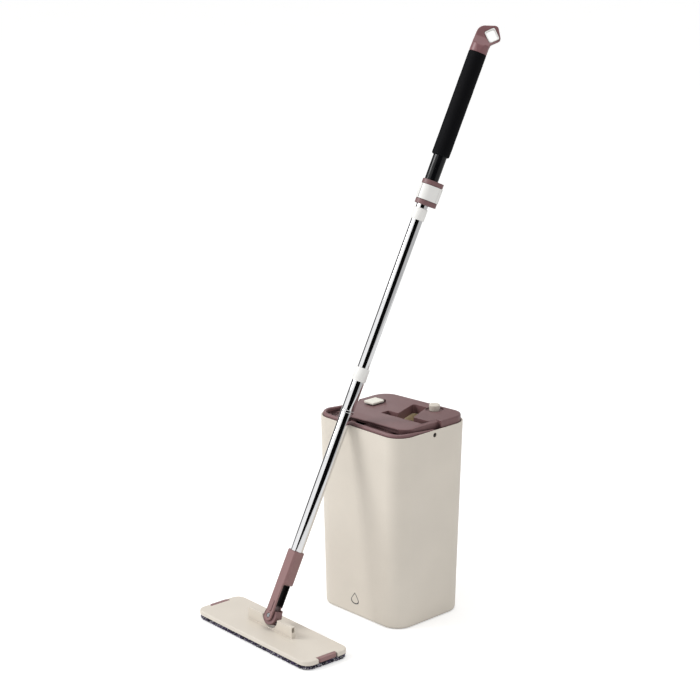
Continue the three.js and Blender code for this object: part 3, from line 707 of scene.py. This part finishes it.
def make_turned_pieces(materials):
    place = pole_matrix()
    pieces = [(name, node, body, rounded_ends(*measures), 0.0)
              for name, node, body, *measures in SLEEVES]
    pieces.append(("lower_collar_moulding", "lower_collar", "lower_pole", collar_outline(), 0.0))
    pieces.append(("foam_grip_sleeve", "foam_grip", "handle", grip_outline(), FOAM_WOBBLE))
    for name, node, body, outline, wobble in pieces:
        piece = turned(name, outline, place, wobble)
        finish_piece(piece, body, slots[node], materials[slots[node]], node)


# ---------------------------------------------------------------- end cap
CAP_VOXEL = 0.8 * MM


def make_end_cap(materials):
    """The cap's CAD solid melted into one flowing moulding."""
    piece = bpy.data.objects.new("end_cap_moulding", nodes["end_cap"].data.copy())
    bpy.context.collection.objects.link(piece)
    piece.data.materials.clear()
    add_remesh(piece, CAP_VOXEL)
    soften = piece.modifiers.new("soften", "SMOOTH")
    soften.factor = 0.5
    soften.iterations = 14
    apply_modifiers(piece)
    smooth(piece)
    finish_piece(piece, "handle", slots["end_cap"], materials[FINISHES["end_cap"]], "end_cap")


# ---------------------------------------------------------------- microfibre pad
HEAD_CENTRE = Vector((-0.041, -0.270, 0))
PAD_LENGTH = 326 * MM
PAD_WIDTH = 102.5 * MM
PAD_CORNER = 18 * MM
PAD_TOP = 8.5 * MM
PAD_FOOT = 0.1 * MM
# height and inset of the pad's rings before it swells, in millimetres
PAD_LEVELS = ((0.8, 5.0), (1.6, 2.6), (4.2, 1.6), (6.8, 2.2), (7.6, 4.0))
PAD_VOXEL = 4 * MM
SWELL_FRAMES = 20
SWELL_PRESSURE = 4.0
MAX_SWELL = 2.2 * MM
PILE_SCALE = 260
PILE_HEIGHT = 0.5 * MM


def head_matrix():
    """The mop head's own frame: its origin on the floor, +X along the plate."""
    along = Vector(joints["head_pitch"]["axis"]).normalized()
    turn = Matrix((along, Vector((-along.y, along.x, 0)), Vector((0, 0, 1)))).transposed().to_4x4()
    return Matrix.Translation(HEAD_CENTRE) @ turn


def rounded_outline(length, width, corner, step):
    """Points round a rounded rectangle, evenly spaced, each with its outward direction."""
    straight_x, straight_y = length - 2 * corner, width - 2 * corner
    quarter = math.pi * corner / 2
    sides = ((straight_x, Vector((1, 0)), Vector((-straight_x / 2, -width / 2)), 0),
             (straight_y, Vector((0, 1)), Vector((length / 2, -straight_y / 2)), 1),
             (straight_x, Vector((-1, 0)), Vector((straight_x / 2, width / 2)), 2),
             (straight_y, Vector((0, -1)), Vector((-length / 2, straight_y / 2)), 3))
    found = []
    for run, direction, start, turn in sides:
        normal = Vector((direction.y, -direction.x))
        for i in range(round(run / step)):
            found.append((start + direction * (run * i / round(run / step)), normal))
        centre = start + direction * run - normal * corner
        for i in range(round(quarter / step)):
            angle = math.radians(-90 + 90 * turn) + math.pi / 2 * i / round(quarter / step)
            outward = Vector((math.cos(angle), math.sin(angle)))
            found.append((centre + outward * corner, outward))
    return found


def pad_outline(inset, step=4 * MM):
    """The pad's outline moved inwards, its corners tightened by half as much."""
    return rounded_outline(PAD_LENGTH - 2 * inset, PAD_WIDTH - 2 * inset, PAD_CORNER - inset * 0.5, step)


def pad_start():
    """The pad before it swells: a closed, slightly crowned slab, a little smaller than the CAD solid."""
    bm = bmesh.new()
    rings = []
    for height, inset in PAD_LEVELS:
        outline = pad_outline(inset * MM)
        rings.append([bm.verts.new((point.x, point.y, height * MM)) for point, _ in outline])
    for ring, after in zip(rings, rings[1:]):
        edges = [bm.edges.get(pair) or bm.edges.new(pair)
                 for loop in (ring, after) for pair in zip(loop, loop[1:] + loop[:1])]
        bmesh.ops.bridge_loops(bm, edges=edges)
    bm.faces.new(list(reversed(rings[0])))
    bm.faces.new(rings[-1])
    bmesh.ops.recalc_face_normals(bm, faces=bm.faces)
    return add_mesh("mop_pad_microfibre", bm)


def swell(piece):
    """Blows the closed fabric up with Cloth, and applies the result."""
    cloth = piece.modifiers.new("cloth", "CLOTH")
    cloth.settings.use_pressure = True
    cloth.settings.uniform_pressure_force = SWELL_PRESSURE
    cloth.settings.quality = 6
    cloth.settings.tension_stiffness = 12
    cloth.settings.compression_stiffness = 12
    cloth.settings.bending_stiffness = 0.4
    cloth.settings.effector_weights.gravity = 0
    cloth.point_cache.frame_start = 1
    cloth.point_cache.frame_end = SWELL_FRAMES
    scene = bpy.context.scene
    for number in range(1, SWELL_FRAMES + 1):
        scene.frame_set(number)
    apply_modifiers(piece)
    scene.frame_set(1)


def make_pad(materials):
    """The microfibre pad under the plate: swollen fabric with a fringe of yarn round its edge."""
    piece = pad_start()
    add_remesh(piece, PAD_VOXEL)
    apply_modifiers(piece)
    before = [vertex.co.copy() for vertex in piece.data.vertices]
    swell(piece)
    for vertex, start in zip(piece.data.vertices, before):
        move = vertex.co - start
        if move.length > MAX_SWELL:
            vertex.co = start + move * (MAX_SWELL / move.length)
    divide = piece.modifiers.new("divide", "SUBSURF")
    divide.levels = divide.render_levels = 1
    apply_modifiers(piece)
    for vertex in piece.data.vertices:
        vertex.co += vertex.normal * (PILE_HEIGHT * noise.noise(vertex.co * PILE_SCALE))
        vertex.co.z = min(max(vertex.co.z, PAD_FOOT), PAD_TOP)
    smooth(piece)
    piece.matrix_world = head_matrix()
    finish_piece(piece, "mop_head", "pad_fabric", materials["pad_fabric"], "mop_pad")
    make_yarn(materials)


def add_tuft(bm, root, outward, droop, length, radius):
    """One short twist of yarn: a curled tube, thick at its root and closed to a point."""
    rows, sides, taper = 4, 5, 0.45
    across = Vector((-outward.y, outward.x, 0))
    previous = None
    for row in range(rows):
        part = row / rows
        centre = root + outward * length * part + Vector((0, 0, -droop * part * part))
        size = radius * (1 - taper * part * part)
        ring = []
        for i in range(sides):
            angle = 2 * math.pi * i / sides + part
            beside = centre + across * math.cos(angle) * size
            ring.append(bm.verts.new(beside + Vector((0, 0, math.sin(angle) * size))))
        if previous is None:
            bm.faces.new(list(reversed(ring)))
        else:
            for i in range(sides):
                j = (i + 1) % sides
                bm.faces.new((previous[i], previous[j], ring[j], ring[i]))
        previous = ring
    tip = bm.verts.new(root + outward * length + Vector((0, 0, -droop)))
    for i in range(sides):
        bm.faces.new((previous[i], previous[(i + 1) % sides], tip))


# height and inset of each row of yarn's outline, in millimetres, and how far inside it the roots are
YARN_ROWS = ((7.4, 1.2), (5.2, 0.6), (3.1, 0.6), (1.3, 1.6))
YARN_ROOT = 2.2
YARN_SPACING = 2.3 * MM
YARN_FOOT = 0.15 * MM
TIP_HEIGHT = 1.0 * MM
# what each twist draws at random: its swing in radians, the others in millimetres
YARN_SWING = (-0.45, 0.45)
YARN_LIFT = (-0.5, 0.5)
YARN_LENGTH = (3.0, 4.4)
YARN_DROOP = (0.2, 1.4)
YARN_RADIUS = (0.85, 1.15)
# each colour's share
YARN_MIX = (("yarn_dark", 0.52), ("yarn_plum", 0.30), ("yarn_pale", 0.18))


def pick_yarn(draw):
    for name, share in YARN_MIX:
        if draw < share:
            return name
        draw -= share
    return YARN_MIX[0][0]


def make_yarn(materials):
    """Rows of short yarn twists round the pad's edge, in three colours."""
    random.seed(11)
    meshes = {name: bmesh.new() for name, _ in YARN_MIX}
    for height, inset in YARN_ROWS:
        for point, outward in pad_outline((inset + YARN_ROOT) * MM, YARN_SPACING):
            swing = Matrix.Rotation(random.uniform(*YARN_SWING), 2) @ outward
            root = Vector((point.x, point.y, (height + random.uniform(*YARN_LIFT)) * MM))
            length = random.uniform(*YARN_LENGTH) * MM
            droop = min(random.uniform(*YARN_DROOP) * MM, root.z - TIP_HEIGHT)
            radius = random.uniform(*YARN_RADIUS) * MM
            root.z = min(root.z, PAD_TOP - radius)
            direction = Vector((swing.x, swing.y, 0))
            add_tuft(meshes[pick_yarn(random.random())], root, direction, droop, length, radius)
    for name, bm in meshes.items():
        piece = add_mesh("pad_fringe_" + name, bm)
        for vertex in piece.data.vertices:
            vertex.co.z = max(vertex.co.z, YARN_FOOT)
        smooth(piece)
        piece.matrix_world = head_matrix()
        finish_piece(piece, "mop_head", "pad_fabric", materials[name])


# ---------------------------------------------------------------- printed drop on the bucket
DROP_CENTRE = Vector((-6 * MM, 0, 35 * MM))
DROP_SIZE = 12 * MM
DROP_STROKE = 2.1 * MM
DROP_WIDENING = 1.25
DROP_POINT = 1.6
DROP_PROUD = 0.15 * MM
DROP_SUNK = 0.3 * MM
DROP_STEPS = 48
# how far the bucket's front wall leans out from its foot to its rim
WALL_LEAN = 6.9 * MM


def make_drop_mark(materials):
    """A plain printed water drop, low on the bucket's front: an outline that follows the wall."""
    low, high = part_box("bucket_shell")
    taper = WALL_LEAN / (high.z - low.z)
    hollow = 1 - DROP_STROKE / DROP_SIZE
    bm = bmesh.new()
    rings = []
    for scale, lift in ((1, -DROP_SUNK), (1, DROP_PROUD), (hollow, DROP_PROUD), (hollow, -DROP_SUNK)):
        ring = []
        for i in range(DROP_STEPS):
            turn = 2 * math.pi * i / DROP_STEPS
            x = math.sin(turn) * math.sin(turn / 2) ** DROP_POINT * DROP_WIDENING
            place = DROP_CENTRE + Vector((x, 0, math.cos(turn))) * (DROP_SIZE * scale)
            place.y = low.y + taper * (high.z - place.z) - lift
            ring.append(bm.verts.new(place))
        rings.append(ring)
    join_rings(bm, rings)
    piece = add_mesh("drop_mark", bm)
    finish_piece(piece, "bucket", "black_plastic", materials["ink"])


def main():
    make_camera()
    make_stage()
    materials = make_materials()
    dress(materials)
    finish_edges()
    make_turned_pieces(materials)
    make_end_cap(materials)
    make_pad(materials)
    make_drop_mark(materials)


main()
